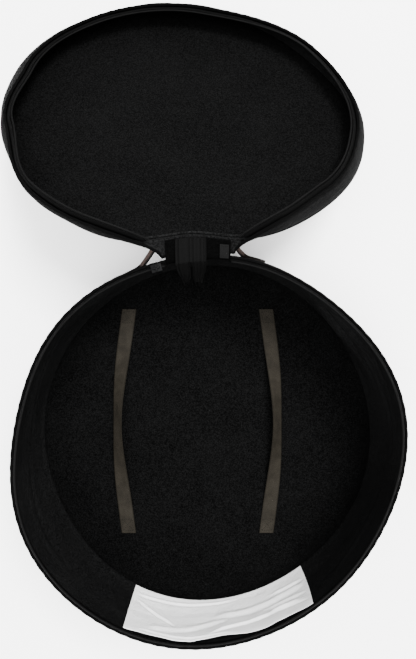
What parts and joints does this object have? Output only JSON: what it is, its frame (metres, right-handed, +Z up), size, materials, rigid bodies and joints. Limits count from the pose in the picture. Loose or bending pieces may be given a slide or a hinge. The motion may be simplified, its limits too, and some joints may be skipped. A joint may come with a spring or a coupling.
{
  "type": "felt hat box",
  "caption": "Round soft felt travel box for a hat, open, with a zipped rim, felt hinge, drooping lid, inner hold-down straps, slip pocket and strap handles.",
  "frame": {"origin": "centre of the body's underside, on the surface that the box stands on", "axes": "+Z up, +Y towards the lid, which lies back behind the body, +X to the right as seen in the picture"},
  "size_m": [0.486, 0.8281, 0.2015],
  "materials": {
    "felt": "dense black wool felt, matt, finely mottled",
    "zip_tape": "black woven zip tape",
    "ribbed_strip": "black ribbed strip, slightly satin",
    "zip_coil": "black nylon coil",
    "zip_metal": "black enamelled slider",
    "grey_tab": "dark grey folded tape",
    "hat_strap": "very dark brown strap, soft sheen",
    "handle_leather": "rose-brown leather with dark edges",
    "webbing": "black woven web",
    "pocket_cloth": "thin white cloth, wrinkled"
  },
  "bodies": {
    "root": {"base_panel": "felt", "body_wall": "felt", "lid_panel": "felt", "lid_wall": "felt", "hinge_panel": "felt", "body_zip_tape": "zip_tape", "lid_zip_tape": "zip_tape", "hinge_strip": "ribbed_strip", "body_zip_coil": "zip_coil", "lid_zip_coil": "zip_coil", "zip_slider": "zip_metal", "zip_pull": "zip_metal", "zip_end_tab": "grey_tab", "hat_strap_left": "hat_strap", "hat_strap_right": "hat_strap", "back_handle": "handle_leather", "lid_handle": "webbing", "inner_pocket": "pocket_cloth"}
  },
  "joints": []
}
